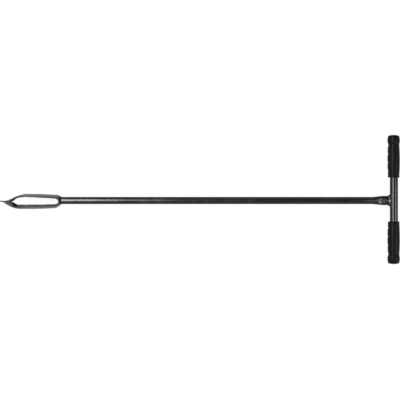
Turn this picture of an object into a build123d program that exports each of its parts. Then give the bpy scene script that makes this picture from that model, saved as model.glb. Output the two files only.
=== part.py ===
from build123d import *
import os
from math import asin, ceil, cos, hypot, pi, radians, sin, sqrt

# A hand soil auger lying on the ground: two blades, a tubular shaft, a cross handle and two grips.
# +X runs up the shaft from the point to the handle, +Y along the handle, +Z up from the ground.
# The origin is on the ground under the middle of the shaft. Sizes are millimetres and degrees.

# Whole tool
overall_length = 1200.0  # point of the long blade to the backs of the grips

# Shaft tube, pressed flat where it meets the cross handle
shaft_od = 21.3
shaft_wall = 2.0
pressed_thickness = 10.2  # of the flat end
pressed_length = 18.0  # flat run in front of the handle
pressed_corner_out = 0.647  # where the flat faces end, as a share of the half width
pressed_corner_up = 0.937  # and their height there, as a share of the half thickness
press_run = 38.0  # over which the tube widens from round to flat
press_lead = 15.5  # of that run, before the thickness drops
press_drop = 20.0  # over which it drops
press_steps = 16

# Cross handle
handle_od = 24.0
handle_wall = 2.0
handle_length = 388.0  # over the ends of both grips
handle_offset = 3.0  # the handle's middle lies this far to +Y of the shaft

# Rubber grips
grip_length = 128.0
grip_end_wall = 5.0  # of rubber over the end of the handle tube
grip_fit = 0.02  # between the tube and the grip's bore
grip_wall = 5.0  # of rubber beside the collar and beside the end knob
grip_swell_rise = 1.6  # of the palm over that
grip_collar_rise = 1.0  # of the collar at the mouth
grip_collar_length = 3.5
grip_knob_rise = 1.8  # of the knob at the end
grip_knob_length = 28.0
grip_corner = 3.0  # rounding of the end
grip_dome = 2.0  # height of the domed end
grip_shift = 0.8  # the grip is thicker towards the fingers by this shift of its axis
finger_count = 4
finger_first = 18.5  # from the mouth of the grip to the middle of the first finger groove
finger_last = 2.5  # from the middle of the last finger groove to the knob
finger_depth = 1.0
finger_radius = 11.0
finger_fade = 0.4  # ends each groove short of the palm

# Blades; a station is a distance from the point along the tool
head_radius = 22.8  # outside, where the blades are widest
head_offset = 2.7  # the blades' axis lies this far to -Y of the shaft
blade_thickness = 3.2
neck_station = 182.3  # end of the shaft tube
neck_step = 0.85  # the blades stand out from the shaft by this
shoulder_length = 18.5  # over which the blades close in to the shaft
shoulder_drop = 2.5  # the blades have closed in by this where the shoulder starts
shoulder_round = 2.3  # 1 is a straight cone
long_close_run = 2.5  # over which the long blade's side of the window closes
long_close = 2.0  # 1 closes it evenly, more closes it later
short_close_run = 11.5
short_close = 1.8
close_margin = 0.5  # least distance between the section where a side starts to close and the one before
seam_length = 7.0  # the blades touch each other's welds for this length below the neck
long_edge = 54.0  # half angle of the long blade's outer face
short_edge = 32.0
short_flare = 24.0  # the short blade widens by this half angle up to the shoulder
flare_station = 48.0  # from here
long_bevel = 8.0  # the inner face reaches this much further round than the outer
short_bevel = 5.0
twist_station = 54.0  # where the blades start to wind towards the point
twist_angle = 85.0  # reached at the point
short_lead = 24.0  # most that the short blade is twisted further than the long one
lead_start = 22.0  # between here
lead_end = 50.0  # and here
long_cone_start = 8.0  # where the long blade's cone would meet the axis
long_cone_end = 66.0  # and where it has grown to the full radius
long_cone_bulge = 2.4  # 1 is a straight cone
short_cone_start = 17.0
short_cone_end = 76.0
short_cone_bulge = 1.5
short_end = 12.0  # the short blade stops here, behind the long one
short_gap = 0.4  # left between the blades there
point_rise = 1.9  # of the long blade's back over the axis, at its point
point_curve = 4.0  # radius of the back at the point
point_edge = 31.0  # half angle of the back at the point
point_run = 24.0  # over which the blade grows to its full width and thickness
point_thickness = 2.2
slope_limit = 1.5  # most that a slope adds to the thickness of a section
hollow_limit = 6.0  # the inner face's radius is at least the outer one's divided by this
point_kick = 1.0  # the point lies this far to +Y of the blades' axis
kick_station = 14.0  # from here on it is in line
seam_gap = 4.0  # half angle left open for each seam weld
tang_length = 30.0  # of each blade, inside the shaft
tang_fit = 0.05  # between the tangs and the shaft's bore
cone_steps = 18
body_steps = 7
shoulder_steps = 6
close_turn = 5.34  # most that a side of the window turns for each step of its closing
neck_steps = 4

# Welds
head_bead = 1.5
seam_bead = 2.0
handle_bead = 3.2  # up the handle, over each flat side of the shaft
handle_bead_side = 6.0  # along the handle, past each edge of the shaft
handle_bead_lip = 0.08  # share of its full size that the bead has at its front edge
handle_bead_hollow = 1.2  # above 1 the bead's face is hollowed
handle_bead_steps = 6
tip_bead = 3.2

# Places that follow from these sizes
tip_x = -overall_length / 2
handle_radius = handle_od / 2
grip_neck = handle_radius + grip_wall
grip_swell = grip_neck + grip_swell_rise
grip_collar = grip_neck + grip_collar_rise
grip_knob = grip_neck + grip_knob_rise
knob_start = grip_length - grip_knob_length
palm_middle = (grip_collar_length + knob_start) / 2
finger_pitch = (knob_start - finger_first - finger_last) / (finger_count - 1)
handle_x = overall_length / 2 - (grip_knob - grip_shift)
handle_face_x = handle_x - handle_radius
pressed_width = pressed_thickness + pi / 2 * (shaft_od - pressed_thickness)  # keeps the tube's girth
axis_z = max(grip_knob, head_radius * sin(radians(long_edge)))
shaft_bore = shaft_od - 2 * shaft_wall
neck_radius = shaft_od / 2 + neck_step
shoulder_radius = head_radius - shoulder_drop
shoulder_station = neck_station - shoulder_length
window_station = neck_station - seam_length
tang_radius = shaft_bore / 2 - tang_fit
tang_inner = tang_radius - blade_thickness
long_cone = (long_cone_start, long_cone_end, long_cone_bulge, point_rise)
short_cone = (short_cone_start, short_cone_end, short_cone_bulge, blade_thickness + short_gap)
long_closing = (long_close_run, long_close)
short_closing = (short_close_run, short_close)
tip_station = short_end + tip_bead


def share(value, start, end):
    # How far value has come from start to end, kept between 0 and 1.
    return min(max((value - start) / (end - start), 0.0), 1.0)


def ease(value, start, end):
    # As share, but starting and ending gently.
    s = share(value, start, end)
    return s * s * (3 - 2 * s)


def axis_point(station, aside=0.0):
    # A point level with the shaft's axis; aside is its distance to +Y.
    return Vector(tip_x + station, aside, axis_z)


def polar(centre, radius, angle):
    # A point of the section through centre; the angle runs from +Y towards +Z.
    return centre + Vector(0, radius * cos(radians(angle)), radius * sin(radians(angle)))


# Blades

def arc_band(centre, facing, outer, inner, half_outer, half_inner):
    # A curved strip's section, square to X: outer arc, edge, inner arc, edge.
    def arc(radius, half):
        return ThreePointArc(*[polar(centre, radius, facing + k * half) for k in (-1, 0, 1)])

    outside = arc(outer, half_outer)
    inside = arc(inner, half_inner)
    return Wire([outside, Line(outside @ 1, inside @ 1), inside, Line(inside @ 0, outside @ 0)])


def head_outline(station, cone):
    # Outer radius of a blade: a bulged cone, a nearly straight body and a rounded shoulder.
    start, end, bulge = cone[:3]
    if station < end:
        return head_radius * (1 - (1 - share(station, start, end)) ** bulge)
    body = share(station, end, shoulder_station)
    shoulder = share(station, shoulder_station, neck_station)
    waist = head_radius - (head_radius - shoulder_radius) * body ** 3
    return waist - (shoulder_radius - neck_radius) * shoulder ** shoulder_round


def head_centre(station):
    # The blades' axis, which comes back to the shaft's axis along the shoulder.
    back = ease(station, shoulder_station, neck_station)
    kick = point_kick * (1 - ease(station, 0, kick_station))
    return axis_point(station, kick - head_offset * (1 - back))


def pointedness(station):
    # 1 at the point and 0 where the blades aren't twisted.
    return 1 - share(station, 0, twist_station)


def facing_at(station, side, lead):
    # The way a blade faces: side where it isn't twisted; lead turns it further than the other blade.
    ahead = lead * sin(pi * share(station, lead_start, lead_end)) ** 2
    return side - twist_angle * pointedness(station) - ahead


def blade_back(station, cone):
    # Height of the middle of a blade's back over the head's axis.
    return hypot(head_outline(station, cone), cone[3] * pointedness(station))


def blade_wall(station, cone):
    # Thickness measured square to X: more than the plate's own where the blade slopes.
    step = blade_thickness / 6
    rise = head_outline(station + step, cone) - head_outline(station, cone)
    plate = point_thickness + (blade_thickness - point_thickness) * share(station, 0, point_run)
    return plate * min(hypot(1, rise / step), slope_limit)


def blade_section(station, side, lead, cone, edge, bevel, close):
    # close is the run over which the blade's side of the window closes, and how late it does.
    radius = head_outline(station, cone)
    grown = share(station, 0, point_run)
    seam = share(station, window_station - close[0], window_station) ** close[1]
    half = edge + (90 - seam_gap - edge) * seam
    half_outer = point_edge + (half - point_edge) * grown
    half_inner = half_outer + bevel * grown * (1 - seam)
    curve = hypot(radius, point_curve * pointedness(station))
    facing = facing_at(station, side, lead)
    centre = polar(head_centre(station), blade_back(station, cone) - curve, facing)
    inner = max(curve - blade_wall(station, cone), curve / hollow_limit)
    root = ease(station, window_station, neck_station)
    inner += (tang_inner - inner) * root
    return arc_band(centre, facing, curve, inner, half_outer, half_inner)


def between(start, end, count):
    # Stations from start up to, but not including, end.
    return [start + (end - start) * k / count for k in range(count)]


def blade_tang(side):
    # Half of a pipe that fits the bore of the shaft.
    half = 90 - seam_gap
    section = arc_band(axis_point(neck_station), side, tang_radius, tang_inner, half, half)
    return extrude(Face(section), amount=tang_length, dir=(1, 0, 0))


def blade(side, lead, first, cone, edge, flare, bevel, close):
    # One skin over the head, the end of the window and the neck; first is the station of the blade's end.
    cone_end = cone[1]
    close_station = window_station - close[0]

    def open_half(station):
        # Half angle of the outer face, where the window is open.
        return edge + flare * sqrt(share(station, flare_station, shoulder_station))

    def loft_faces(stations):
        # The faces of a loft, from its first end to its last.
        sections = []
        for station in stations:
            sections.append(blade_section(station, side, lead, cone, open_half(station), bevel, close))
        return Solid.make_loft(sections).faces().sort_by(Axis.X)

    stations = between(first, cone_end, cone_steps)
    stations += between(cone_end, shoulder_station, body_steps)
    stations += between(shoulder_station, window_station, shoulder_steps)
    head = [station for station in stations if station < close_station - close_margin] + [close_station]
    close_steps = ceil((90 - seam_gap - open_half(close_station)) / close_turn)
    closing = between(close_station, window_station, close_steps) + [window_station]
    neck = between(window_station, neck_station, neck_steps) + [neck_station]
    runs = [loft_faces(run) for run in (head, closing, neck)]
    sides = [face for run in runs for face in run[1:-1]]
    skin = Shell([runs[0][0]] + sides + [runs[-1][-1]])
    return Solid(skin) + blade_tang(side)


long_blade = blade(180, 0.0, 0.0, long_cone, long_edge, 0.0, long_bevel, long_closing)
short_blade = blade(
    0, short_lead, short_end, short_cone, short_edge, short_flare, short_bevel, short_closing
)


# Shaft tube

def tube_section(x, width, thickness, flat):
    # Four arcs through eight points: flat is 0 for a round section and 1 for a pressed one.
    wide = width / 2
    high = thickness / 2
    round_corner = cos(pi / 4)
    out = wide * (round_corner + (pressed_corner_out - round_corner) * flat)
    up = high * (round_corner + (pressed_corner_up - round_corner) * flat)
    around = [(out, up), (0, high), (-out, up), (-wide, 0), (-out, -up), (0, -high), (out, -up), (wide, 0)]
    points = [Vector(x, across, axis_z + rise) for across, rise in around]
    points.append(points[0])
    return Wire([ThreePointArc(*points[k:k + 3]) for k in range(0, 8, 2)])


def shaft_body(inset):
    # The shaft's outline, drawn in by inset all round.
    press_end = handle_face_x - pressed_length
    press_start = press_end - press_run
    round_width = shaft_od - 2 * inset
    round_wire = tube_section(tip_x + neck_station, round_width, round_width, 0)
    straight = extrude(Face(round_wire), amount=press_start - (tip_x + neck_station), dir=(1, 0, 0))
    sections = []
    for k in range(press_steps + 1):
        along = press_run * k / press_steps
        flat = ease(along, press_lead, press_lead + press_drop)
        width = shaft_od + (pressed_width - shaft_od) * ease(along, 0, press_run) - 2 * inset
        thickness = shaft_od + (pressed_thickness - shaft_od) * flat - 2 * inset
        sections.append(tube_section(press_start + along, width, thickness, flat))
    pressing = Solid.make_loft(sections)
    flat_wire = tube_section(press_end, pressed_width - 2 * inset, pressed_thickness - 2 * inset, 1)
    flat_end = extrude(Face(flat_wire), amount=handle_x - press_end, dir=(1, 0, 0))
    return straight + pressing + flat_end


def along_handle(radius, length):
    # A cylinder along the handle's axis, about its middle.
    place = Plane(origin=(handle_x, handle_offset, axis_z), x_dir=(1, 0, 0), z_dir=(0, 1, 0))
    return place * Cylinder(radius, length)


shaft_outside = shaft_body(0)
handle_outside = along_handle(handle_radius, handle_length - 2 * grip_end_wall)
shaft_tube = shaft_outside - shaft_body(shaft_wall) - handle_outside


# Cross handle

handle_tube = handle_outside - along_handle(handle_radius - handle_wall, handle_length)


# Grips

def grip_body_radius(along):
    # Radius of the grip between its collar and its knob, at a distance along it from its mouth.
    return grip_swell - grip_swell_rise * ((along - palm_middle) / (knob_start - palm_middle)) ** 2


def grip_outline():
    # Half of the grip's lengthwise section: across is a radius and along runs from the mouth.
    def at(across, along):
        return Vector(across, 0, along)

    rim = grip_length - grip_dome
    knob_end = rim - grip_corner
    flat = grip_neck - grip_corner
    cut = grip_corner * (1 - cos(pi / 4))
    dome_radius = (flat ** 2 + grip_dome ** 2) / (2 * grip_dome)
    dome_angle = asin(flat / dome_radius) / 2
    dome_drop = dome_radius * (1 - cos(dome_angle))
    collar_top = at(grip_collar, grip_collar_length)
    body_start = at(grip_neck, grip_collar_length)
    body_end = at(grip_neck, knob_start)
    side_end = at(grip_neck, knob_end)
    dome_start = at(flat, rim)
    end = at(0, grip_length)
    return Wire([
        Line(at(0, 0), at(grip_collar, 0)),
        Line(at(grip_collar, 0), collar_top),
        Line(collar_top, body_start),
        ThreePointArc(body_start, at(grip_swell, palm_middle), body_end),
        ThreePointArc(body_end, at(grip_knob, (knob_start + knob_end) / 2), side_end),
        ThreePointArc(side_end, at(grip_neck - cut, rim - cut), dome_start),
        ThreePointArc(dome_start, at(dome_radius * sin(dome_angle), grip_length - dome_drop), end),
        Line(end, at(0, 0)),
    ])


def grip(side):
    # One grip; side is 1 at the +Y end of the handle and -1 at the other. Its own X points to the fingers.
    body = revolve(Face(grip_outline()), axis=Axis.Z)
    for k in range(finger_count):
        along = finger_first + k * finger_pitch
        ring = grip_body_radius(along) + finger_fade + finger_radius
        groove = Torus(ring, finger_radius)
        body -= Pos(-(finger_depth + finger_fade), 0, along) * groove
    bore_length = grip_length - grip_end_wall
    body -= Pos(-grip_shift, 0, bore_length / 2) * Cylinder(handle_radius + grip_fit, bore_length)
    mouth = handle_length / 2 - grip_length
    place = Plane(
        origin=(handle_x - grip_shift, handle_offset + side * mouth, axis_z),
        x_dir=(-1, 0, 0),
        z_dir=(0, side, 0),
    )
    return place * body


grip_right = grip(1)
grip_left = grip(-1)


# Welds

def handle_bead_body():
    # A skirt round the pressed end of the shaft that widens on to the handle.
    top = pressed_thickness / 2 + handle_bead
    start = handle_face_x - handle_bead_side
    end = handle_x - sqrt(max(handle_radius ** 2 - top ** 2, 0))
    steps = handle_bead_steps
    sections = []
    for k in range(steps + 1):
        rise = ease(k, -1, steps) ** handle_bead_hollow
        grow = handle_bead_lip + (1 - handle_bead_lip) * rise
        width = pressed_width + 2 * handle_bead_side * grow
        thickness = pressed_thickness + 2 * handle_bead * grow
        sections.append(tube_section(start + (end - start) * k / steps, width, thickness, 1))
    return Solid.make_loft(sections)


def seam_bead_body(angle):
    # A straight run along the gap between the blades, above the window.
    def middle(station):
        radius = head_outline(station, long_cone) - blade_thickness / 2
        return polar(head_centre(station), radius, angle)

    start = middle(window_station)
    run = middle(neck_station) - start
    return Plane(origin=start, z_dir=run) * Cylinder(
        seam_bead, run.length, align=(Align.CENTER, Align.CENTER, Align.MIN)
    )


def tip_bead_body():
    # A ball midway between the inner faces of the two blades, just above the end of the short one.
    long_face, short_face = [
        blade_back(tip_station, cone) - blade_wall(tip_station, cone) for cone in (long_cone, short_cone)
    ]
    centre = polar(head_centre(tip_station), (long_face - short_face) / 2, facing_at(tip_station, 180, 0.0))
    return Pos(centre) * Sphere(tip_bead)


handle_weld = handle_bead_body() - shaft_outside - handle_outside
head_plane = Plane(origin=axis_point(neck_station + head_bead / 2), z_dir=(1, 0, 0))
head_weld = head_plane * Torus(shaft_od / 2, head_bead) - shaft_outside - long_blade - short_blade
seam_welds = Compound([
    seam_bead_body(angle) - long_blade - short_blade - shaft_outside - head_weld for angle in (90, -90)
])
tip_weld = tip_bead_body() - long_blade - short_blade


parts = {
    "long_blade": long_blade,
    "short_blade": short_blade,
    "tip_weld": tip_weld,
    "seam_welds": seam_welds,
    "head_weld": head_weld,
    "shaft_tube": shaft_tube,
    "handle_weld": handle_weld,
    "handle_tube": handle_tube,
    "grip_right": grip_right,
    "grip_left": grip_left,
}
os.makedirs("parts", exist_ok=True)
for name, part in parts.items():
    export_step(part, f"parts/{name}.step")
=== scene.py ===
import bpy
import numpy as np
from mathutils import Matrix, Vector


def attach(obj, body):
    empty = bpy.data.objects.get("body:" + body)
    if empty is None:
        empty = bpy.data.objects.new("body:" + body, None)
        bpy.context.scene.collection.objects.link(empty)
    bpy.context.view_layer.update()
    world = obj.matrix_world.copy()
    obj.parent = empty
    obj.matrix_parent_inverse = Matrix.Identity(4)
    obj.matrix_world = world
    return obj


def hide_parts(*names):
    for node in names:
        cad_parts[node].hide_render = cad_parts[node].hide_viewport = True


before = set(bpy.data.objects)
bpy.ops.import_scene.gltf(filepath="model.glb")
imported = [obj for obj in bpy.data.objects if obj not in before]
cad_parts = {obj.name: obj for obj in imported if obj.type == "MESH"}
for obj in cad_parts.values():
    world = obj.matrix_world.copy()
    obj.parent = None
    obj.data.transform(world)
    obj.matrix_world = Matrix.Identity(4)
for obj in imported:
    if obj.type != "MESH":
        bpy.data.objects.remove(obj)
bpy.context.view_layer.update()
print("frame loaded:", len(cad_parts), "solids")

# The auger lies on the floor: +X from the point to the cross handle, +Y along the handle, +Z up.
# Shapes are worked out in millimetres and degrees, and turned into metres when the mesh is made.
tool = {
    "tipX": -600.0,
    "axisZ": 18.8,  # height of the shaft's axis over the floor
    "handleX": 582.0,
    "handleY": 3.0,  # middle of the cross handle
    "metres": 0.001,  # in a millimetre
    "sharp": 0.7,  # radians of turn that make an edge sharp
}


# Share of the way from a to b, held between 0 and 1.
def share(value, a, b):
    return np.clip((value - a) / (b - a), 0.0, 1.0)


# As share, with a gentle start and end: 3s squared minus 2s cubed.
def ease(value, a, b):
    s = share(value, a, b)
    return s * s * (3 - 2 * s)


# Eases up from 0 to 1 between the first two of four places, and down again between the last two.
def hump(value, run):
    return ease(value, *run[:2]) * (1 - ease(value, *run[2:]))


# Rounded minimum of two surfaces: the smaller one, with the corner eased over a width.
def softMin(a, b, width):
    h = np.clip(0.5 + 0.5 * (b - a) / width, 0, 1)
    return b + (a - b) * h - width * h * (1 - h)


# Rounded maximum, the mirror of softMin.
def softMax(a, b, width):
    return -softMin(-a, -b, width)


# Stations from a up to, but not including, b.
def between(a, b, count):
    return np.linspace(a, b, count, endpoint=False)


# Even angles once round, in radians, without repeating the first.
def fullTurn(count):
    return between(0, 2 * np.pi, count)


# Sum of sine waves, each given by its size, how many there are in a turn, and its phase.
def waveSum(turn, waves):
    return sum(size * np.sin(count * turn + phase) for size, count, phase in waves)


# Natural cubic spline through rows of points: the bends solve the usual three-term system.
def splineRows(knots, rows, where):
    n = len(knots)
    gap = np.diff(knots)
    flat = rows.reshape(n, -1)
    system = np.eye(n)
    i = np.arange(1, n - 1)
    system[i, i - 1] = gap[:-1]
    system[i, i] = 2 * (gap[:-1] + gap[1:])
    system[i, i + 1] = gap[1:]
    right = np.zeros_like(flat)
    right[1:-1] = 6 * np.diff(np.diff(flat, axis=0) / gap[:, None], axis=0)
    bend = np.linalg.solve(system, right)
    k = np.clip(np.searchsorted(knots, where) - 1, 0, n - 2)
    a = ((knots[k + 1] - where) / gap[k])[:, None]
    b = 1 - a
    lift = ((a ** 3 - a) * bend[k] + (b ** 3 - b) * bend[k + 1]) * (gap[k] ** 2)[:, None] / 6
    return (a * flat[k] + b * flat[k + 1] + lift).reshape(len(where), *rows.shape[1:])


unevenness = {
    "waves": 9,
    "spread": (0.6, 1.6),  # from the longest wave to the shortest
    "gain": 2.0,  # makes up for the waves that cancel out
}


# Mean of several sine waves of unlike directions and lengths: a smooth unevenness, from -1 to 1.
def uneven(points, length, seed):
    rng = np.random.default_rng(seed)
    count = unevenness["waves"]
    waves = rng.normal(size=(count, 3)) * rng.uniform(*unevenness["spread"], (count, 1)) / length
    phases = rng.uniform(0, 2 * np.pi, count)
    return np.clip(np.sin(points @ waves.T + phases).mean(-1) * unevenness["gain"], -1, 1)


# One shell from a grid of points, rows along the piece and columns once round it.
# A capped shell has a fan on each end; in any other the last row joins the first.
def gridShell(points, capped):
    rows, cols = points.shape[:2]
    r = np.arange(rows - capped)[:, None]
    c = np.arange(cols)[None, :]
    after = (c + 1) % cols
    above = (r + 1) % rows
    corners = [r * cols + c, r * cols + after, above * cols + after, above * cols + c]
    quads = np.stack(corners, -1).reshape(-1, 4)
    verts = points.reshape(-1, 3)
    fans = [np.zeros((0, 3), int)]
    for row, turn in ((0, -1), (rows - 1, 1)) if capped else ():
        ring = row * cols + c[0]
        pole = np.full(cols, len(verts))
        fans.append(np.stack([ring, np.roll(ring, -1), pole], -1)[:, ::turn])
        verts = np.vstack([verts, points[row].mean(0)])
    return verts, quads, np.concatenate(fans)


# Six times the volume inside a shell, from the corners of its triangles; negative when inside out.
def shellVolume(verts, quads, tris):
    every = np.concatenate([quads[:, [0, 1, 2]], quads[:, [0, 2, 3]], tris])
    a, b, c = verts[every[:, 0]], verts[every[:, 1]], verts[every[:, 2]]
    return np.einsum("ij,ij->i", a, np.cross(b, c)).sum()


# Puts grids into one mesh piece, faces outwards, riding on the root body in place of a CAD node.
# A grid is points and a value for each; the paint reads the values as an attribute named mark.
def makePiece(name, node, paint, mark, grids, capped):
    allVerts, allFaces, allValues, start = [], [], [], 0
    for points, values in grids:
        verts, quads, tris = gridShell(points, capped)
        if shellVolume(verts, quads, tris) < 0:
            quads, tris = quads[:, ::-1], tris[:, ::-1]
        allVerts.append(verts)
        allFaces += (quads + start).tolist() + (tris + start).tolist()
        allValues += [values.reshape(-1), np.zeros(2 * capped)]  # the poles of the caps keep 0
        start += len(verts)
    verts = np.concatenate(allVerts) * tool["metres"]
    mesh = bpy.data.meshes.new(name)
    mesh.from_pydata(verts.tolist(), [], allFaces)
    mesh.polygons.foreach_set("use_smooth", np.ones(len(allFaces), bool))
    mesh.set_sharp_from_angle(angle=tool["sharp"])
    layer = mesh.attributes.new(mark, "FLOAT", "POINT")
    layer.data.foreach_set("value", np.concatenate(allValues).astype(np.float32))
    mesh.materials.append(paint)
    mesh.update()
    piece = bpy.data.objects.new(name, mesh)
    bpy.context.scene.collection.objects.link(piece)
    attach(piece, "root")
    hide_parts(node)
    print("made", name, len(allFaces), "faces")


# A shader socket that takes part in Python sums, on either side; each sum adds its Math node.
class Link:
    def __init__(self, tree, socket):
        self.tree = tree
        self.socket = socket

    def math(self, operation, first, second):
        return self.tree.add("ShaderNodeMath", {"operation": operation}, {0: first, 1: second})

    def __add__(self, other):
        return self.math("ADD", self, other)

    def __radd__(self, other):
        return self.math("ADD", other, self)

    def __sub__(self, other):
        return self.math("SUBTRACT", self, other)

    def __rsub__(self, other):
        return self.math("SUBTRACT", other, self)

    def __mul__(self, other):
        return self.math("MULTIPLY", self, other)

    def __rmul__(self, other):
        return self.math("MULTIPLY", other, self)


# A node tree under construction; add makes any node: settings first, then socket values or links.
class Nodes:
    def __init__(self, owner):
        owner.use_nodes = True
        self.tree = owner.node_tree
        self.tree.nodes.clear()

    def add(self, kind, settings={}, sockets={}, out=0):
        node = self.tree.nodes.new(kind)
        for key, value in settings.items():
            setattr(node, key, value)
        for key, value in sockets.items():
            if isinstance(value, Link):
                self.tree.links.new(value.socket, node.inputs[key])
            else:
                node.inputs[key].default_value = value
        return Link(self, node.outputs[out]) if node.outputs else None

    # noise of a given number of lumps per metre, with as many finer noises in it as detail says
    def noise(self, where, scale, detail, rough=0.6):
        sockets = {"Vector": where, "Scale": scale, "Detail": detail, "Roughness": rough}
        return self.add("ShaderNodeTexNoise", {}, sockets)

    # smooth step of a value between low and high, from a to b
    def range(self, value, low, high, a=0.0, b=1.0):
        sockets = {"Value": value, "From Min": low, "From Max": high, "To Min": a, "To Max": b}
        return self.add("ShaderNodeMapRange", {"interpolation_type": "SMOOTHSTEP"}, sockets)

    # Mix has a set of sockets for each kind of data; 6 and 7 are its colours, and output 2 is the colour
    def mixColour(self, factor, a, b):
        return self.add("ShaderNodeMix", {"data_type": "RGBA"}, {0: factor, 6: a, 7: b}, out=2)

    # the attribute that makePiece stored
    def mark(self, name):
        return self.add("ShaderNodeAttribute", {"attribute_name": name}, out=2)

    # object coordinates
    def place(self):
        return self.add("ShaderNodeTexCoord", out=3)

    # the whole surface; bump is the strength of the relief and its distance
    def finish(self, colour, rough, height, bump, more):
        sockets = {"Height": height, "Strength": bump[0], "Distance": bump[1]}
        normal = self.add("ShaderNodeBump", {}, sockets)
        sockets = {"Base Color": colour, "Roughness": rough, "Normal": normal, **more}
        shader = self.add("ShaderNodeBsdfPrincipled", {}, sockets)
        self.add("ShaderNodeOutputMaterial", {}, {"Surface": shader})


# A new material and its empty node tree.
def newPaint(name):
    material = bpy.data.materials.new(name)
    return material, Nodes(material)


# A grey of one value, with its red and its blue raised by shares of it.
def grey(value, red=0.0, blue=0.0):
    return (value * (1 + red), value, value * (1 + blue), 1.0)


# A noise less its mean.
def swing(noise):
    return noise - 0.5


# Sum of links, each times its weight.
def blend(links, weights):
    total = links[0] * weights[0]
    for link, weight in zip(links[1:], weights[1:]):
        total = total + link * weight
    return total


bladeFinish = {
    "low": grey(0.113, 0.05, 0.025),
    "high": grey(0.168, 0.05, 0.025),
    # dark scale, which is also the colour of the painted shade on the blades
    "scale": grey(0.012, 0.02, 0.01),
    "noises": ((70.0, 5.0), (260.0, 4.0), (950.0, 3.0)),  # clouds, patches, specks: lumps per metre, detail
    "drawn": (1.0, 2.0, 0.5),
    "drawnScale": (45.0, 900.0, 900.0),  # streaks per metre along, across and up
    "tone": (0.4, 0.35, 0.25),  # shares of clouds, patches and streaks
    "toneRun": (0.38, 0.62),  # from the low tone to the high one
    "broken": (0.6, 0.6, 0.3),  # how far the noises move the scale mark
    "rough": 0.34,
    "rougher": (0.2, 0.15, 0.08),  # by patches, specks and scale
    "height": (0.5, 0.4, 0.25, 0.2),  # of the noises and the streaks
    "bump": (0.22, 0.0005),  # strength and distance
}


# Forged plate: satin steel between a low and a high tone, by clouds, patches and lengthwise streaks.
# The scale mark, broken up by noise, turns it to dark, duller scale; the same mark paints shade along the
# edges, all over the long blade and in its twist.
def paintBlades(finish):
    material, n = newPaint("bladeSteel")
    where = n.place()
    cloud, patch, speck = [n.noise(where, *values) for values in finish["noises"]]
    stretched = n.add("ShaderNodeMapping", {}, {"Vector": where, "Scale": finish["drawnScale"]})
    drawn = n.noise(stretched, *finish["drawn"])
    broken = blend((swing(cloud), swing(patch), swing(speck)), finish["broken"])
    # the scale mark holds scale and painted shade: edges, a film all over and the long blade's twist
    scale = n.range(n.mark("scale") + broken, 0.0, 1.0)
    tone = n.range(blend((cloud, patch, drawn), finish["tone"]), *finish["toneRun"])
    colour = n.mixColour(tone, finish["low"], finish["high"])
    colour = n.mixColour(scale, colour, finish["scale"])
    rough = finish["rough"] + blend((swing(patch), swing(speck), scale), finish["rougher"])
    height = blend((cloud, patch, speck, drawn), finish["height"])
    n.finish(colour, rough, height, finish["bump"], {"Metallic": 1.0})
    return material


tubeFinish = {
    "dark": grey(0.045, 0.04, 0.0),
    "light": grey(0.06, 0.04, 0.0),
    "warm": grey(0.04, 0.13, -0.06),  # of the handle and the end of the shaft
    # greyer colour of burn and pressing, and of the painted highlight streak
    "burnt": grey(0.06, 0.1, -0.06),
    "rim": grey(0.25),  # colour of the reflection at a glancing angle
    "noises": ((22.0, 4.0, 0.55), (700.0, 3.0)),  # clouds and a fine one
    "toneRun": (0.35, 0.65),
    "warmRun": (0.50, 0.55),  # where along the tool the warm tone comes in
    "broken": 0.5,  # how far the clouds move the burn mark
    "burnRun": (0.1, 0.9),
    "rough": 0.19,
    "rougher": (0.08, 0.06, 0.26),  # by the noises and the burn
    "height": (0.7, 0.12),
    "bump": (0.1, 0.0005),
}


# Blackened tube under a thin lacquer: nearly black by broad clouds, and warmer towards the handle.
# The burn mark, broken up by the clouds, makes it duller and greyer where it was pressed or heated, and along
# a streak before the pressed end that paints a highlight.
def paintTubes(finish):
    material, n = newPaint("tubeSteel")
    where = n.place()
    cloud, fine = [n.noise(where, *values) for values in finish["noises"]]
    burnt = n.range(n.mark("burn") + swing(cloud) * finish["broken"], *finish["burnRun"])
    colour = n.mixColour(n.range(cloud, *finish["toneRun"]), finish["dark"], finish["light"])
    along = n.add("ShaderNodeSeparateXYZ", {}, {0: where})
    colour = n.mixColour(n.range(along, *finish["warmRun"]), colour, finish["warm"])
    colour = n.mixColour(burnt, colour, finish["burnt"])
    rough = finish["rough"] + blend((swing(cloud), swing(fine), burnt), finish["rougher"])
    height = blend((cloud, fine), finish["height"])
    n.finish(colour, rough, height, finish["bump"], {"Metallic": 1.0, "Specular Tint": finish["rim"]})
    return material


weldFinish = {
    "hollow": grey(0.012, 0.02, 0.0),
    "crest": grey(0.11, 0.05, -0.03),
    "noises": ((160.0, 4.0), (1100.0, 3.0)),  # clouds and a fine one
    "broken": (0.8, 0.4),  # how far the noises move the crest mark
    "crestRun": (0.2, 1.0),
    "rough": 0.36,
    "rougher": 0.3,  # by the fine noise
    "height": (0.5, 0.4),
    "bump": (0.3, 0.0005),
}


# Weld metal: dark and a little scaly, paler on the crests of its ripples and on a painted highlight along the
# top of the handle's weld.
def paintWelds(finish):
    material, n = newPaint("weldSteel")
    where = n.place()
    cloud, fine = [n.noise(where, *values) for values in finish["noises"]]
    broken = blend((swing(cloud), swing(fine)), finish["broken"])
    crest = n.range(n.mark("crest") + broken, *finish["crestRun"])
    colour = n.mixColour(crest, finish["hollow"], finish["crest"])
    rough = finish["rough"] + swing(fine) * finish["rougher"]
    height = blend((cloud, fine), finish["height"])
    n.finish(colour, rough, height, finish["bump"], {"Metallic": 1.0})
    return material


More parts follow.
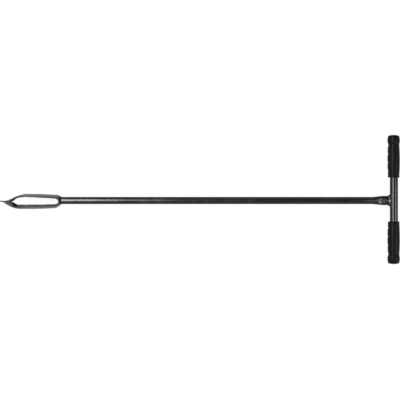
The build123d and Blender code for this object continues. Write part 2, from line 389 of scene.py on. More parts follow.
gripFinish = {
    "black": grey(0.0012),
    "rubbed": grey(0.004),
    "noises": ((45.0, 4.0), (1500.0, 2.0, 0.5)),  # clouds and the grain
    "rub": (0.8, 0.35),  # by clouds and by the hollow mark
    "rubRun": (0.42, 0.8),
    "rough": 0.42,
    "rougher": (0.16, 0.12),
    "height": (0.6, 0.5),
    "bump": (0.22, 0.0004),
    "gloss": 0.105,  # level of the reflection of the rubber's skin
}


# Moulded rubber: black with a fine grain, a little greyer by clouds and in the finger hollows.
def paintGrips(finish):
    material, n = newPaint("gripRubber")
    where = n.place()
    cloud, grain = [n.noise(where, *values) for values in finish["noises"]]
    rubbed = n.range(blend((cloud, n.mark("hollow")), finish["rub"]), *finish["rubRun"])
    colour = n.mixColour(rubbed, finish["black"], finish["rubbed"])
    rough = finish["rough"] + blend((swing(cloud), swing(grain)), finish["rougher"])
    height = blend((cloud, grain), finish["height"])
    n.finish(colour, rough, height, finish["bump"], {"Specular IOR Level": finish["gloss"]})
    return material


bladePaint = paintBlades(bladeFinish)
tubePaint = paintTubes(tubeFinish)
weldPaint = paintWelds(weldFinish)
gripPaint = paintGrips(gripFinish)
print("paints ready")


head = {
    "radius": 22.8,
    "offset": 2.7,  # the blades' axis lies this far to -Y of the shaft
    "thickness": 3.2,
    "neck": 182.3,  # stations are distances from the point
    "shoulder": 163.8,
    "window": 175.3,
    "shoulderRadius": 20.3,
    "bodyRound": 3,  # how late the body draws in towards the shoulder
    "shoulderRound": 2.3,
    "neckRadius": 11.5,
    "twistEnd": 54.0,
    "twist": 85.0,
    "leadRun": (22.0, 50.0),  # the short blade is twisted further between these stations
    "flareStart": 48.0,
    "pointCurve": 4.0,
    "pointEdge": 31.0,
    "pointRun": 24.0,
    "pointThickness": 2.2,
    "kick": 1.0,
    "kickEnd": 14.0,
    "slopeStep": 6,  # a slope is taken over the thickness divided by this
    "slopeLimit": 1.5,
    "hollowLimit": 6.0,  # the inner radius is at least the outer one divided by this
    "seamGap": 4.0,
    "tangOuter": 8.6,
    "tangStep": 0.05,  # run of the step down to the tang
    "tangEnd": 212.3,
    "edgeRound": 0.55,  # rounding of the four corners of a section
    "tipRound": 0.8,
    "tipRows": 6,  # of the blunt end
    "tipFlat": 0.45,  # its size at the very end, as a share
    "arcPoints": 41,  # of each face, across it
    "cornerPoints": 5,  # of each rounded corner
    "knots": (18, 7, 6, 6, 4),  # of the splines, along the point, body, shoulder, window end and neck
    "knotGap": 0.5,  # least distance of a knot from the start of the window's end
    "rows": ((30.0, 60), (90.0, 120), (160.0, 110)),  # up to a station, and how many
    "endRows": (24, 24, 16),  # in front of the end of the window, along it and along the neck
}
longBlade = {
    "side": 180.0,  # the way it faces, from +Y towards +Z
    "first": 0.0,  # station of its end
    "cone": (8.0, 66.0, 2.4),  # start, end and bulge
    "rise": 1.9,  # of its back over the axis, at the point
    "edge": 54.0,  # half angle of its outer face
    "flare": 0.0,
    "bevel": 8.0,  # its inner face reaches this much further round
    "closeRun": 2.5,  # over which its side of the window closes
    "close": 2.0,  # how late it does
    "lead": 0.0,
    "filmAndShade": 0.22,  # scale and painted shade all over, painted shade on the edges and in the twist
    "edgeShade": 0.8,
    "edgeRun": (-2.0, -1.0),  # stations between which the painted shade on the edges sets in
    "twistShade": 1.3,
    "seed": 3,
}
shortBlade = {
    "side": 0.0,
    "first": 12.0,
    "cone": (17.0, 76.0, 1.5),
    "rise": 3.6,
    "edge": 32.0,
    "flare": 24.0,
    "bevel": 5.0,
    "closeRun": 11.5,
    "close": 1.8,
    "lead": 24.0,
    # a film of scale and painted shade all over, and painted shade along its edges
    "filmAndShade": 0.06,
    "edgeShade": 0.52,
    "edgeRun": (40.0, 60.0),
    "twistShade": 0.0,
    "seed": 8,
}


# Outer radius: a bulged cone, then a nearly straight body, then a rounded shoulder down to the neck.
def headOutline(u, cone):
    start, end, bulge = cone
    point = head["radius"] * (1 - (1 - share(u, start, end)) ** bulge)
    drawn = share(u, end, head["shoulder"]) ** head["bodyRound"]
    drop = share(u, head["shoulder"], head["neck"]) ** head["shoulderRound"]
    waist = head["radius"] - (head["radius"] - head["shoulderRadius"]) * drawn
    return np.where(u < end, point, waist - (head["shoulderRadius"] - head["neckRadius"]) * drop)


# Sideways place of the blades' axis: kicked over at the point, back on the shaft's axis at the neck.
def headAside(u):
    kick = head["kick"] * (1 - ease(u, 0, head["kickEnd"]))
    return kick - head["offset"] * (1 - ease(u, head["shoulder"], head["neck"]))


# 1 at the point and 0 where the blades aren't twisted.
def pointedness(u):
    return 1 - share(u, 0, head["twistEnd"])


# Height of the middle of a blade's back: the root of the outline squared plus the rise squared.
def bladeBack(u, blade):
    return np.hypot(headOutline(u, blade["cone"]), blade["rise"] * pointedness(u))


# Thickness of a section square to X: the plate's own, times the length of its slope over a unit run.
def bladeWall(u, blade):
    step = head["thickness"] / head["slopeStep"]
    slope = (headOutline(u + step, blade["cone"]) - headOutline(u, blade["cone"])) / step
    grown = share(u, 0, head["pointRun"])
    plate = head["pointThickness"] + (head["thickness"] - head["pointThickness"]) * grown
    return plate * np.minimum(np.hypot(1, slope), head["slopeLimit"])


# The way a blade faces: its own side, less the twist and its lead on the other blade.
def bladeFacing(u, blade):
    ahead = blade["lead"] * np.sin(np.pi * share(u, *head["leadRun"])) ** 2
    return blade["side"] - head["twist"] * pointedness(u) - ahead


# Points at a radius and angle about centres (across, up), at stations; the angle runs from +Y to +Z.
def around(u, centre, radius, angle):
    a = np.radians(angle)
    y = centre[0] + radius * np.cos(a)
    z = tool["axisZ"] + centre[1] + radius * np.sin(a)
    return np.stack([tool["tipX"] + u + 0 * a, y, z], -1)


# Quadratic curve from one point to another about a corner, without its two ends.
def cornerCurve(start, corner, end):
    t = np.linspace(0, 1, head["cornerPoints"] + 2)[1:-1][None, :, None]
    return (1 - t) ** 2 * start + 2 * t * (1 - t) * corner + t ** 2 * end


# Closed loops round a strip: outer arc, rounded edge, inner arc, rounded edge, from radii and half angles.
def stripLoop(u, centre, facing, outer, inner, halfOuter, halfInner):
    r = head["edgeRound"]
    sweep = np.linspace(-1, 1, head["arcPoints"])[None, :]
    outside = around(u, centre, outer, facing + sweep * (halfOuter - np.degrees(r / outer)))
    inside = around(u, centre, inner, facing - sweep * (halfInner - np.degrees(r / inner)))
    edges = []
    for sign, last, first in ((1, outside[:, -1:], inside[:, :1]), (-1, outside[:, :1], inside[:, -1:])):
        top = around(u, centre, outer, facing + sign * halfOuter)
        low = around(u, centre, inner, facing + sign * halfInner)
        along = r * (low - top) / np.linalg.norm(low - top, axis=-1, keepdims=True)
        upper = cornerCurve(last, top, top + along)
        lower = cornerCurve(low - along, low, first)
        run = np.concatenate([upper, top + along, low - along, lower], 1)
        edges.append(run[:, ::sign])
    return np.concatenate([outside, edges[0], inside, edges[1]], 1)


# Loops of a blade at stations: a curved strip that widens from the point, and closes the window at the neck.
def bladeLoops(u, blade):
    u = np.asarray(u, float)[:, None]
    grown = share(u, 0, head["pointRun"])
    seam = share(u, head["window"] - blade["closeRun"], head["window"]) ** blade["close"]
    edge = blade["edge"] + blade["flare"] * np.sqrt(share(u, head["flareStart"], head["shoulder"]))
    half = edge + (90 - head["seamGap"] - edge) * seam
    halfOuter = head["pointEdge"] + (half - head["pointEdge"]) * grown
    halfInner = halfOuter + blade["bevel"] * grown * (1 - seam)
    curve = np.hypot(headOutline(u, blade["cone"]), head["pointCurve"] * pointedness(u))
    inner = np.maximum(curve - bladeWall(u, blade), curve / head["hollowLimit"])
    tangInner = head["tangOuter"] - head["thickness"]
    inner = inner + (tangInner - inner) * ease(u, head["window"], head["neck"])
    facing = bladeFacing(u, blade)
    shift = bladeBack(u, blade) - curve
    turn = np.radians(facing)
    centre = (headAside(u) + shift * np.cos(turn), shift * np.sin(turn))
    return stripLoop(u, centre, facing, curve, inner, halfOuter, halfInner)


# Rows of a blade: splines through its loops along the head, the end of the window and the neck.
def bladeRows(blade):
    coneKnots, bodyKnots, shoulderKnots, closeKnots, neckKnots = head["knots"]
    headRows, closeRows, neckRows = head["endRows"]
    coneEnd = blade["cone"][1]
    closeStart = head["window"] - blade["closeRun"]
    knots = np.concatenate([
        between(blade["first"], coneEnd, coneKnots),
        between(coneEnd, head["shoulder"], bodyKnots),
        between(head["shoulder"], head["window"], shoulderKnots),
    ])
    knots = np.append(knots[knots < closeStart - head["knotGap"]], closeStart)
    fine = []
    start = blade["first"] + head["tipRound"]
    for end, count in (*head["rows"], (closeStart, headRows)):
        fine.append(between(start, end, count))
        start = end
    runs = [splineRows(knots, bladeLoops(knots, blade), np.concatenate(fine))]
    for start, end, knotCount, rowCount in (
        (closeStart, head["window"], closeKnots, closeRows),
        (head["window"], head["neck"], neckKnots, neckRows),
    ):
        knots = np.linspace(start, end, knotCount + 1)
        runs.append(splineRows(knots, bladeLoops(knots, blade), between(start, end, rowCount)))
    return np.concatenate([*runs, bladeLoops([head["neck"]], blade)])


forging = {
    "depth": 0.26,  # of the uneven, hammered faces
    "edgeFade": (0.75, 1.0),  # from the middle of a face, as a share of its half width
    "pointFade": (4.0, 14.0),  # stations
    "shoulderFade": (152.0, 163.0),
    "lumps": ((0.65, 5.0, 0), (0.35, 1.6, 50)),  # share, length and a step of the seed
}


# Draws both faces in by an unevenness, along the line through the plate, fading at edges, point and shoulder.
def forge(rows, blade):
    arc = head["arcPoints"]
    low = arc + 2 * head["cornerPoints"] + 2
    outside = rows[:, :arc]
    inside = rows[:, low:low + arc][:, ::-1]
    through = (outside - inside) / np.linalg.norm(outside - inside, axis=-1, keepdims=True)
    u = outside[..., 0] - tool["tipX"]
    across = np.abs(np.linspace(-1, 1, arc))[None, :]
    depth = forging["depth"] * (1 - ease(across, *forging["edgeFade"]))
    depth = depth * ease(u, *forging["pointFade"]) * (1 - ease(u, *forging["shoulderFade"]))

    # a face moved by the depth times a share from 0 to 1
    def drawnIn(face, sign, seed):
        lumps = sum(part * uneven(face, length, seed + step) for part, length, step in forging["lumps"])
        return face + sign * through * (depth * (0.5 + 0.5 * lumps))[..., None]

    forged = rows.copy()
    forged[:, :arc] = drawnIn(outside, -1, blade["seed"])
    forged[:, low:low + arc] = drawnIn(inside, 1, blade["seed"] + 1)[:, ::-1]
    return forged


# Loops that shrink to a blunt end, ahead of the first row, along a quarter circle.
def bluntEnd(row):
    turn = between(0, np.pi / 2, head["tipRows"])[:, None, None]
    middle = row.mean(1, keepdims=True)
    end = middle + (row - middle) * (head["tipFlat"] + (1 - head["tipFlat"]) * np.sin(turn))
    end[..., 0] = row[0, 0, 0] - head["tipRound"] * np.cos(turn[..., 0])
    return end


# The half-round tang inside the shaft: two loops.
def tangRows(blade):
    u = np.array([[head["neck"] + head["tangStep"]], [head["tangEnd"]]])
    zero = np.zeros_like(u)
    half = zero + 90 - head["seamGap"]
    inner = head["tangOuter"] - head["thickness"]
    facing = zero + blade["side"]
    return stripLoop(u, (zero, zero), facing, zero + head["tangOuter"], zero + inner, half, half)


scaling = {
    "edge": (5, 9),  # columns from an edge, between which its painted shade fades
    "twistShadeSide": (12, 26),  # the same, of the painted shade in the twist
    "twist": (35.0, 42.0, 45.0, 58.0),  # stations where that starts, is full, starts to fade and ends
    # painted shade that trails the twist, and its share
    "twistShadeTail": (36.0, 44.0, 48.0, 80.0),
    "twistShadeTailShare": 0.3,
    "point": (2.0, 16.0),
    "neck": (174.0, 179.0),
    "ends": 0.8,  # strength at the point and by the neck
}


# Dark scale and painted shade, the most of: a film of both all over, painted shade on the edges, in the twist
# and its tail, and scale at the point and by the neck.
def scaleAndShadeMark(points, blade):
    u = points[..., 0] - tool["tipX"]
    cols = points.shape[1]
    middle = head["arcPoints"] + head["cornerPoints"] + 0.5  # column in the middle of the first edge face
    spot = np.arange(cols)[None, :] - middle
    near = np.abs((spot + cols / 4) % (cols / 2) - cols / 4)  # columns from the nearest edge
    # painted shade along the edges and in the long blade's twist
    edge = (1 - share(near, *scaling["edge"])) * blade["edgeShade"] * ease(u, *blade["edgeRun"])
    twist = (1 - share(near, *scaling["twistShadeSide"])) * hump(u, scaling["twist"]) * blade["twistShade"]
    twistShadeTail = hump(u, scaling["twistShadeTail"]) * scaling["twistShadeTailShare"] * blade["twistShade"]
    point = (1 - ease(u, *scaling["point"])) * scaling["ends"]
    neck = ease(u, *scaling["neck"]) * scaling["ends"]
    return np.max([edge, twist, blade["filmAndShade"] + twistShadeTail, point, neck], axis=0)


# A blade: blunt end, forged rows and tang in one closed shell.
def makeBlade(name, node, blade):
    rows = bladeRows(blade)
    points = np.concatenate([bluntEnd(rows[:1]), forge(rows, blade), tangRows(blade)])
    grid = (points, scaleAndShadeMark(points, blade))
    makePiece(name, node, bladePaint, "scale", [grid], True)


makeBlade("longBlade", "long_blade", longBlade)
makeBlade("shortBlade", "short_blade", shortBlade)


handle = {
    "radius": 12.0,
    "wall": 2.0,
    "length": 388.0,  # over the grips
    "endCover": 5.0,
    "points": 96,
    "rows": 160,
    "burn": 0.8,
    "burnSide": (16.0, 30.0),  # it fades between these distances from the shaft
    "burnFront": (-8.0, 2.0),  # and from the front to the back
}
shaft = {
    "od": 21.3,
    "wall": 2.0,
    "pressedThickness": 10.2,
    "pressedLength": 18.0,  # flat run in front of the handle
    "pressRun": 38.0,  # before it, over which the tube widens
    "pressLead": 15.5,  # of that run, before the thickness drops
    "pressDrop": 20.0,
    "cornerOut": 0.647,
    "cornerUp": 0.937,
    "arcPoints": 24,  # of a quarter of the section
    "rows": (60, 110, 40),  # of the plain tube, the press and the flat run
    "fineLead": 15.0,  # the close rows start this far before the press
    "fallMiddle": 17.0,  # each flat face falls at half of its full slope this far before the flat run
    "fallSlope": 0.55,
    "fallRun": 4.5,  # over which the slope grows
    "fallSoft": (0.8, 0.3),  # rounding at its foot and along its sides
    "fallDepth": (0.08, 0.5),  # depths between which it counts as a slope
    "fallDull": 0.8,  # how dull the slope is
    "dullMiddle": -1.2,  # middle of the dull part of the pressed faces
    "dullSide": (4.5, 8.0),  # which fades between these distances from there
    "dull": (7.5, 12.5),  # and between these distances before the flat run
    "dullEnd": (1.0, 11.0),  # it loses a share between these distances after its start
    "dullLoss": 0.85,
    "highlightStreak": (-115.0, -18.0),  # a painted highlight streak that leads to it grows between these places, from the flat run
    "highlightStreakSide": (1.0, 4.5),
}
handleFront = tool["handleX"] - handle["radius"]
pressEnd = handleFront - shaft["pressedLength"]
pressStart = pressEnd - shaft["pressRun"]
pressedWidth = shaft["pressedThickness"] + np.pi / 2 * (shaft["od"] - shaft["pressedThickness"])


# Tube section of four arcs: each through two corners and the middle of a side.
# The arc's radius is (half chord squared + rise squared) / (2 rise).
def tubeLoop(width, thickness, flat, count):
    wide, high = width / 2, thickness / 2
    diagonal = np.cos(np.pi / 4)
    out = wide * (diagonal + (shaft["cornerOut"] - diagonal) * flat)
    up = high * (diagonal + (shaft["cornerUp"] - diagonal) * flat)
    sweep = between(-1, 1, count)[None, :]
    sideR = (up ** 2 + (wide - out) ** 2) / (2 * (wide - out))
    sideA = np.arcsin(np.clip(up / sideR, -1, 1)) * sweep
    topR = (out ** 2 + (high - up) ** 2) / (2 * (high - up))
    topA = np.arcsin(np.clip(out / topR, -1, 1)) * sweep
    right = np.stack([wide - sideR + sideR * np.cos(sideA), sideR * np.sin(sideA)], -1)
    top = np.stack([-topR * np.sin(topA), high - topR + topR * np.cos(topA)], -1)
    return np.concatenate([right, top, -right, -top], 1)


# Where a line along the shaft meets the handle: its axis less the half chord at that height.
def handleFace(up, sink=0.0):
    return tool["handleX"] + sink - np.sqrt(np.maximum(handle["radius"] ** 2 - up ** 2, 0))


# How dull and grey the shaft is, the most of: the slopes, the flat faces and a streak leading to them that
# paints a highlight.
def shaftDullAndHighlight(before, across, fallen):
    aside = np.abs(across - shaft["dullMiddle"])
    middle = 1 - ease(aside, *shaft["dullSide"])
    lost = ease(-before, *shaft["dullEnd"]) * shaft["dullLoss"]
    flat = (1 - ease(before, *shaft["dull"])) * middle * (1 - lost)
    # painted highlight: a duller, greyer streak along the middle of the tube
    highlightStreak = share(-before, *shaft["highlightStreak"]) * (1 - ease(aside, *shaft["highlightStreakSide"]))
    fall = share(fallen, *shaft["fallDepth"]) * (before > 0) * shaft["fallDull"]
    return np.max([fall * middle, flat, highlightStreak], axis=0)


# Rows of the shaft, drawn in by an inset: round, eased to flat, and coped on to the handle.
# Each flat side is the lower of the eased section and a facet; its depth is the full slope times the run
# times the logarithm of one plus the exponential of the way past the middle over the run.
def shaftRows(inset):
    fineStart = pressStart - shaft["fineLead"]
    plainRows, pressRows, flatRows = shaft["rows"]
    x = np.concatenate([
        between(tool["tipX"] + head["neck"], fineStart, plainRows),
        between(fineStart, pressEnd, pressRows),
        np.linspace(pressEnd, handleFront, flatRows),
    ])[:, None]
    dropStart = pressStart + shaft["pressLead"]
    drop = ease(x, dropStart, dropStart + shaft["pressDrop"])
    width = shaft["od"] + (pressedWidth - shaft["od"]) * ease(x, pressStart, pressEnd) - 2 * inset
    thickness = shaft["od"] + (shaft["pressedThickness"] - shaft["od"]) * drop - 2 * inset
    loop = tubeLoop(width, thickness, drop, shaft["arcPoints"])
    across, up = loop[..., 0], loop[..., 1]
    before = pressEnd - x  # distance to the flat run
    past = (shaft["fallMiddle"] - before) / shaft["fallRun"]
    depth = shaft["fallSlope"] * shaft["fallRun"] * np.log1p(np.exp(past))
    foot, side = shaft["fallSoft"]
    facet = softMax(shaft["od"] / 2 - depth, shaft["pressedThickness"] / 2 + 0 * x, foot)
    lower = softMin(np.abs(up), facet - inset, side)
    dull = shaftDullAndHighlight(before, across, np.abs(up) - lower)
    up = np.sign(up) * lower
    x = x + share(x, pressEnd, handleFront) * (handleFace(up) - handleFront)
    return np.stack([x, across, tool["axisZ"] + up], -1), dull


# The shaft: rows up the outside and back down the bore, which has no marks.
def makeShaft():
    outside, dull = shaftRows(0.0)
    inside = shaftRows(shaft["wall"])[0]
    grid = (np.concatenate([outside, inside[::-1]]), np.concatenate([dull, np.zeros_like(dull)]))
    makePiece("shaftTube", "shaft_tube", tubePaint, "burn", [grid], False)


# Rings about a line along Y, at the height of the axis; the angle runs from +X to +Z.
def ringRows(axisX, radii, angle, y):
    x = axisX + radii * np.cos(angle) + 0 * y
    z = tool["axisZ"] + radii * np.sin(angle) + 0 * y
    return np.stack([x, y + 0 * angle, z], -1)


# The handle: rings along the outside and back along the bore; burnt on the front, beside the weld.
def makeHandle():
    half = handle["length"] / 2 - handle["endCover"]
    y = tool["handleY"] + np.linspace(-half, half, handle["rows"])[:, None]
    angle = fullTurn(handle["points"])[None, :]
    outside = ringRows(tool["handleX"], handle["radius"], angle, y)
    inside = ringRows(tool["handleX"], handle["radius"] - handle["wall"], angle, y[::-1])
    points = np.concatenate([outside, inside])
    burn = handle["burn"] * (1 - ease(np.abs(points[..., 1]), *handle["burnSide"]))
    burn = burn * (1 - ease(points[..., 0] - tool["handleX"], *handle["burnFront"]))
    makePiece("handleTube", "handle_tube", tubePaint, "burn", [(points, burn)], False)


makeShaft()
makeHandle()


grip = {
    "length": 128.0,
    "endWall": 5.0,
    "bore": 12.02,
    "neck": 17.0,
    "swell": 1.6,
    "collar": 18.0,
    "collarLength": 3.5,
    "collarSoft": (-0.4, 0.9),  # from its end, the run over which it falls off
    "mouthRound": 0.8,
    "knob": 1.78,
    "knobStart": 100.0,
    "knobEnd": 123.0,
    "knobLead": 17.0,  # the knob's arch counts from this far before its start
    "knobSoft": 0.5,
    "corner": 3.0,
    "dome": 2.0,
    "domePole": 0.02,  # share of the radius at which the cap closes it
    "shift": 0.8,  # towards the fingers
    "fingerFirst": 18.5,
    "fingerLast": 97.5,
    "fingerCount": 4,
    "fingerDepth": 1.0,
    "fingerRadius": 11.0,
    "fingerFade": 0.4,
    "fingerSoft": 0.35,
    "flash": 0.18,  # height of the mould's parting line
    "flashWidth": 0.45,
    "flashRun": (4.0, 8.0, 91.0, 98.0),  # where the line starts, is full, starts to fade and ends
    "flashHollow": 0.3,  # it stops where a finger hollow is this deep
    "points": 144,
    "mouthRows": (6.0, 18),  # up to a distance, and how many
    "rows": (200, 9, 11, 5),  # of the side, corner, dome and bore
}


# Radius of the palm: a shallow arch between the collar and the knob.
def palmRadius(along):
    middle = (grip["collarLength"] + grip["knobStart"]) / 2
    return grip["neck"] + grip["swell"] * (1 - ((along - middle) / (grip["knobStart"] - middle)) ** 2)


# Side of the grip at a distance along it and an angle round it, 0 being the fingers' side:
# palm and knob arches, the collar, and finger grooves whose floor rises with the angle.
def gripSide(along, angle):
    middle = (grip["knobStart"] + grip["knobEnd"]) / 2
    knob = grip["neck"] + grip["knob"] * (1 - ((along - middle) / (grip["knobEnd"] - middle)) ** 2)
    knob = np.where(along > grip["knobStart"] - grip["knobLead"], knob, 0.0)
    body = softMax(palmRadius(along), knob, grip["knobSoft"])
    plain = body + 0 * angle
    depth = grip["fingerDepth"] + grip["fingerFade"]
    r = grip["fingerRadius"]
    for place in np.linspace(grip["fingerFirst"], grip["fingerLast"], grip["fingerCount"]):
        away = np.clip(np.abs(along - place), 0, r)
        floor = palmRadius(place) + grip["fingerFade"] - depth * np.cos(angle)
        body = softMin(body, floor + r - np.sqrt(r ** 2 - away ** 2), grip["fingerSoft"])
    hollow = plain - body
    body = body + (grip["collar"] - body) * (1 - ease(along - grip["collarLength"], *grip["collarSoft"]))
    start, full, fade, end = grip["flashRun"]
    line = np.exp(-((np.sin(angle) * grip["neck"]) / grip["flashWidth"]) ** 2)
    line = line * share(along, start, full) * (1 - share(along, fade, end)) * (hollow < grip["flashHollow"])
    lip = grip["mouthRound"]
    edge = lip - np.sqrt(np.maximum(lip ** 2 - np.clip(lip - along, 0, lip) ** 2, 0))
    return body + grip["flash"] * line - edge, hollow


# A grip is rings along its axis: side, rounded corner, domed end; then back down the bore.
def makeGrip(name, node, side):
    angle = fullTurn(grip["points"])[None, :]
    mouthRun, mouthRows = grip["mouthRows"]
    sideRows, cornerRows, domeRows, boreRows = grip["rows"]
    along = np.concatenate([
        between(0, mouthRun, mouthRows),
        np.linspace(mouthRun, grip["knobEnd"], sideRows),
    ])[:, None]
    radius, hollow = gripSide(along, angle)
    turn = np.linspace(0, np.pi / 2, cornerRows + 1)[1:][:, None]
    cornerAlong = grip["knobEnd"] + grip["corner"] * np.sin(turn)
    cornerRadius = radius[-1:] - grip["corner"] * (1 - np.cos(turn))
    inward = np.linspace(1, grip["domePole"], domeRows + 1)[1:][:, None]
    domeAlong = grip["length"] - grip["dome"] * inward ** 2
    rings = np.concatenate([radius, cornerRadius, cornerRadius[-1:] * inward])
    where = np.concatenate([along, cornerAlong, domeAlong])
    mouthY = tool["handleY"] + side * (handle["length"] / 2 - grip["length"])
    turned = np.pi - angle  # the fingers' side faces -X
    outer = ringRows(tool["handleX"] - grip["shift"], rings, turned, mouthY + side * where)
    deep = np.linspace(0, grip["length"] - grip["endWall"], boreRows)[:, None]
    bore = ringRows(tool["handleX"], grip["bore"], turned, mouthY + side * deep)
    mark = np.zeros((len(outer) + len(bore), grip["points"]))
    mark[len(outer) - len(hollow):len(outer)] = hollow[::-1]
    grid = (np.concatenate([outer[::-1], bore]), mark)
    makePiece(name, node, gripPaint, "hollow", [grid], True)


makeGrip("gripRight", "grip_right", 1)
makeGrip("gripLeft", "grip_left", -1)


weld = {
    "plain": 0.45,  # how pale a crest is, away from the painted highlight
    "ripple": 0.13,  # depth of the valleys between ripples
    "crestRound": 0.8,  # less makes the crests flatter
    "bow": 2.4,  # how far a ripple lags at the sides of its bead, in radians of its own wave
    "hand": ((0.9, 3, 1.0), (0.7, 5, 2.4), (0.5, 11, 0.0)),  # slow waves of the phase of the ripples
    "beadPoints": 28,  # round the head's and the seams' beads
    "headBead": 1.5,
    "headStation": 183.05,
    "headRipples": 46,
    "headRows": 552,
    "headSize": 0.95,  # mean share of the bead's size, and the waves in it
    "headSwell": ((0.03, 3, 0.0), (0.02, 8, 2.0)),
    "headWander": ((0.12, 5, 1.0), (0.08, 11, 0.0)),
    "seamBead": 2.0,
    "seamRipples": 6,
    "seamRows": 90,
    "seamBack": 0.4,  # from the neck and from the window's end
    "seamHand": ((1.2, 5, 0.0),),
    "seamEnd": (8, 0.0004),  # power of its rounded ends, and the least square of their size
    "handleBead": 3.2,
    "handleBeadSide": 6.0,
    "handleRipples": 58,
    "handleRows": 30,
    "handlePoints": 180,  # of a quarter of the section
    "handleLip": 0.02,  # share of its size at its front edge
    "handleRound": 0.9,  # power of its growth
    "handleBelly": 0.7,  # power of the fading of its ripples at both edges
    "handleWander": ((0.3, 4, 0.6), (0.15, 13, 0.0)),
    "handleSink": 0.6,  # how far it reaches into the handle
    "coreInset": 1.0,  # its hidden inside is smaller than the shaft's end by this
    "coreBack": 0.6,  # and starts this far behind its front edge
    "rubbed": (-1.0, 4.0),  # middle and half width of the painted highlight along its top
    "tipBead": 3.2,
    "tipStation": 15.2,
    "tipPoints": 48,
    "tipRows": 30,
    "tipPole": 0.04,  # angle at which the caps close the ball
    "tipLump": 0.04,  # share of its size
    "tipLength": 1.6,  # of its lumps
    "tipSeed": 5,
}


# Crests of a laid bead: round crests and sharp valleys, one for each turn of the phase.
def ripples(phase):
    return np.abs(np.sin(phase / 2)) ** weld["crestRound"]


# Ring bead: a circle carried round the shaft, swollen by ripples that lag at its sides.
def headWeldGrid():
    a = fullTurn(weld["headRows"])[:, None]
    b = fullTurn(weld["beadPoints"])[None, :]
    phase = weld["headRipples"] * a + waveSum(a, weld["hand"])
    crest = ripples(phase + weld["bow"] * (1 - np.cos(b)))
    size = weld["headBead"] * (weld["headSize"] + waveSum(a, weld["headSwell"]))
    size = size - weld["ripple"] * (1 - crest)
    far = shaft["od"] / 2 + size * np.cos(b)
    x = tool["tipX"] + weld["headStation"] + waveSum(a, weld["headWander"]) + size * np.sin(b)
    return np.stack([x, far * np.cos(a), tool["axisZ"] + far * np.sin(a)], -1), crest * weld["plain"]


# Straight bead with rounded ends along the gap between the blades, on the front (1) or the back (-1).
def seamWeldGrid(side):
    u = np.array([head["window"], head["neck"]]) - weld["seamBack"]
    far = headOutline(u, longBlade["cone"]) - head["thickness"] / 2
    aside = headAside(u)
    t = np.linspace(0, 1, weld["seamRows"])[:, None]
    b = fullTurn(weld["beadPoints"])[None, :]
    phase = 2 * np.pi * weld["seamRipples"] * t + waveSum(t, weld["seamHand"])
    crest = ripples(phase + weld["bow"] * (1 - np.sin(b)))
    power, least = weld["seamEnd"]
    end = np.sqrt(np.maximum(1 - np.abs(2 * t - 1) ** power, least))
    size = end * (weld["seamBead"] - weld["ripple"] * (1 - crest))
    x = tool["tipX"] + u[0] + (u[1] - u[0]) * t + 0 * b
    y = aside[0] + (aside[1] - aside[0]) * t + size * np.cos(b)
    z = tool["axisZ"] + side * (far[0] + (far[1] - far[0]) * t + size * np.sin(b))
    return np.stack([x, y, z], -1), crest * weld["plain"]


# Skirt round the pressed end: the shaft's own section grown towards the handle, rippled round it.
def handleWeldGrid():
    thickness = shaft["pressedThickness"]
    start = handleFront - weld["handleBeadSide"]
    end = handleFace(thickness / 2 + weld["handleBead"])
    t = np.linspace(0, 1, weld["handleRows"])[:, None]
    one = np.ones_like(t)
    count, sink = weld["handlePoints"], weld["handleSink"]
    grow = weld["handleLip"] + (1 - weld["handleLip"]) * np.sin(t * np.pi / 2) ** weld["handleRound"]
    wide = pressedWidth + 2 * weld["handleBeadSide"] * grow
    loop = tubeLoop(wide, thickness + 2 * weld["handleBead"] * grow, one, count)
    ring = loop[len(loop) // 2]
    step = np.linalg.norm(np.diff(ring, axis=0, append=ring[:1]), axis=-1)
    turn = 2 * np.pi * (np.cumsum(step) / step.sum())[None, :]  # even along the bead, unlike the angle
    phase = weld["handleRipples"] * turn + waveSum(turn, weld["hand"])
    crest = ripples(phase + weld["bow"] * (2 * t - 1) ** 2)
    belly = np.sin(np.pi * t) ** weld["handleBelly"]
    depth = weld["ripple"] * belly * (1 - crest) / np.linalg.norm(loop, axis=-1)
    loop = loop * (1 - depth)[..., None]
    x = start + (end - start) * t + waveSum(turn, weld["handleWander"]) * (1 - t)
    x = np.minimum(x, handleFace(loop[..., 1], sink))
    two = one[:2]
    inset = weld["coreInset"]
    core = tubeLoop((pressedWidth - inset) * two, (thickness - inset) * two, two, count)
    coreX = np.minimum(np.array([[end], [start + weld["coreBack"]]]), handleFace(core[..., 1], sink))
    outer = np.stack([x, loop[..., 0], tool["axisZ"] + loop[..., 1]], -1)
    inner = np.stack([coreX, core[..., 0], tool["axisZ"] + core[..., 1]], -1)
    # painted highlight: the crests are paler along the middle of the top
    middle, width = weld["rubbed"]
    rub = np.exp(-((loop[..., 0] - middle) / width) ** 2)
    pale = (0.5 + 0.5 * crest) * (weld["plain"] + (1 - weld["plain"]) * rub) * belly
    return np.concatenate([outer, inner]), np.concatenate([pale, np.zeros_like(coreX)])


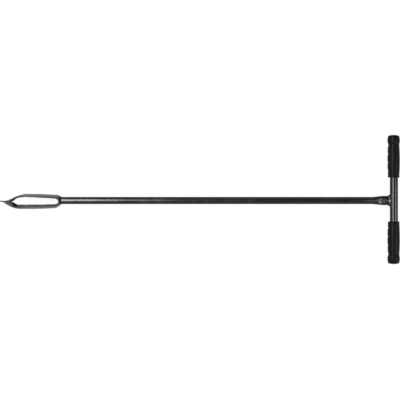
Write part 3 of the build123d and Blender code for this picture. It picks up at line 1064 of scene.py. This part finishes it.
# Lumpy ball midway between the inner faces of the two blades, just above the end of the short one.
def tipWeldGrid():
    u = weld["tipStation"]
    faces = [bladeBack(u, blade) - bladeWall(u, blade) for blade in (longBlade, shortBlade)]
    away = (faces[0] - faces[1]) / 2
    facing = np.radians(bladeFacing(u, longBlade))
    centre = np.array([
        tool["tipX"] + u,
        headAside(u) + away * np.cos(facing),
        tool["axisZ"] + away * np.sin(facing),
    ])
    a = fullTurn(weld["tipPoints"])[None, :]
    b = np.linspace(weld["tipPole"], np.pi - weld["tipPole"], weld["tipRows"])[:, None]
    ball = np.stack([np.cos(b) + 0 * a, np.sin(b) * np.cos(a), np.sin(b) * np.sin(a)], -1)
    lump = 1 - weld["tipLump"] * (1 - uneven(ball * weld["tipBead"], weld["tipLength"], weld["tipSeed"]))
    crest = share(lump, 1 - 2 * weld["tipLump"], 1.0)
    return centre + ball * weld["tipBead"] * lump[..., None], crest * weld["plain"]


for name, node, grids, capped in (
    ("headWeld", "head_weld", [headWeldGrid()], False),
    ("seamWelds", "seam_welds", [seamWeldGrid(1), seamWeldGrid(-1)], True),
    ("handleWeld", "handle_weld", [handleWeldGrid()], False),
    ("tipWeld", "tip_weld", [tipWeldGrid()], True),
):
    makePiece(name, node, weldPaint, "crest", grids, capped)


studio = {
    "camera": (0.000126, 0.0015, 6.0),
    "view": 1.20025,  # width of the picture at the height of the shaft's axis
    "sensor": 36.0,
    "floor": 5.0,
    "floorDrop": 0.0004,
    "floorLit": grey(0.9),
    "floorWhite": 0.88,  # share of the floor that is plain white to the camera and to reflections
    "overhead": 0.3,  # level of the sky above
    "horizon": 0.95,  # and near the ground
    "skyRun": (0.1, 0.42),  # heights of the sky between which it darkens
    "lamps": {  # centre, point it looks at, width and height, radiance, colour
        "overheadBox": ((-1.14, 0.7, 3.0), (-1.14, 0.7, 0.0), (1.5, 3.0), 10.0, (1.0, 1.0, 1.0)),
        "sideBox": ((2.06, -0.5, 1.36), (0.57, -0.5, 0.0), (1.1, 0.8), 9.0, (0.93, 1.0, 1.0)),
        "fillBox": ((0.2, -1.75, 2.6), (0.2, 0.0, 0.0), (3.0, 1.0), 0.5, (1.0, 1.0, 1.0)),
    },
}


# A white square: mostly plain white to the camera and to reflections, and lit and shaded to the rest.
def makeFloor():
    material, n = newPaint("floorWhite")
    plain = 0.0
    for ray in ("Is Camera Ray", "Is Glossy Ray", "Is Transmission Ray"):
        seen = n.add("ShaderNodeLightPath", out=ray)
        plain = n.add("ShaderNodeMath", {"operation": "MAXIMUM"}, {0: plain, 1: seen})
    lit = n.add("ShaderNodeBsdfDiffuse", {}, {"Color": studio["floorLit"]})
    white = n.add("ShaderNodeEmission", {}, {"Color": grey(1.0), "Strength": 1.0})
    both = n.add("ShaderNodeMixShader", {}, {0: plain * studio["floorWhite"], 1: lit, 2: white})
    n.add("ShaderNodeOutputMaterial", {}, {"Surface": both})
    s, z = studio["floor"], -studio["floorDrop"]
    mesh = bpy.data.meshes.new("floor")
    mesh.from_pydata([(-s, -s, z), (s, -s, z), (s, s, z), (-s, s, z)], [], [(0, 1, 2, 3)])
    mesh.materials.append(material)
    floor = bpy.data.objects.new("floor", mesh)
    bpy.context.scene.collection.objects.link(floor)


# The sky is pale near the ground and darker overhead, as in a studio with a dark ceiling.
def makeSky():
    world = bpy.data.worlds.new("studio")
    bpy.context.scene.world = world
    n = Nodes(world)
    direction = n.add("ShaderNodeTexCoord", out=0)
    up = n.add("ShaderNodeSeparateXYZ", {}, {0: direction}, out=2)
    level = n.range(up, *studio["skyRun"], studio["horizon"], studio["overhead"])
    back = n.add("ShaderNodeBackground", {}, {"Color": level, "Strength": 1.0})
    n.add("ShaderNodeOutputWorld", {}, {"Surface": back})


# A lamp's power is its radiance times pi times its area.
def makeLamps():
    for name, (place, aim, (width, height), radiance, colour) in studio["lamps"].items():
        lamp = bpy.data.lights.new(name, "AREA")
        lamp.shape = "RECTANGLE"
        lamp.size = width
        lamp.size_y = height
        lamp.energy = radiance * np.pi * width * height
        lamp.color = colour
        thing = bpy.data.objects.new(name, lamp)
        thing.location = place
        thing.rotation_euler = (Vector(aim) - Vector(place)).to_track_quat("-Z", "Y").to_euler()
        bpy.context.scene.collection.objects.link(thing)


# Looks straight down; the lens is the sensor times the distance to the shaft's axis over the view.
def makeCamera():
    camera = bpy.data.cameras.new("camera")
    camera.sensor_width = studio["sensor"]
    distance = studio["camera"][2] - tool["axisZ"] * tool["metres"]
    camera.lens = studio["sensor"] * distance / studio["view"]
    thing = bpy.data.objects.new("camera", camera)
    thing.location = studio["camera"]
    bpy.context.scene.collection.objects.link(thing)
    bpy.context.scene.camera = thing


makeFloor()
makeSky()
makeLamps()
makeCamera()
bpy.context.scene.view_settings.view_transform = "Standard"
print("studio ready")
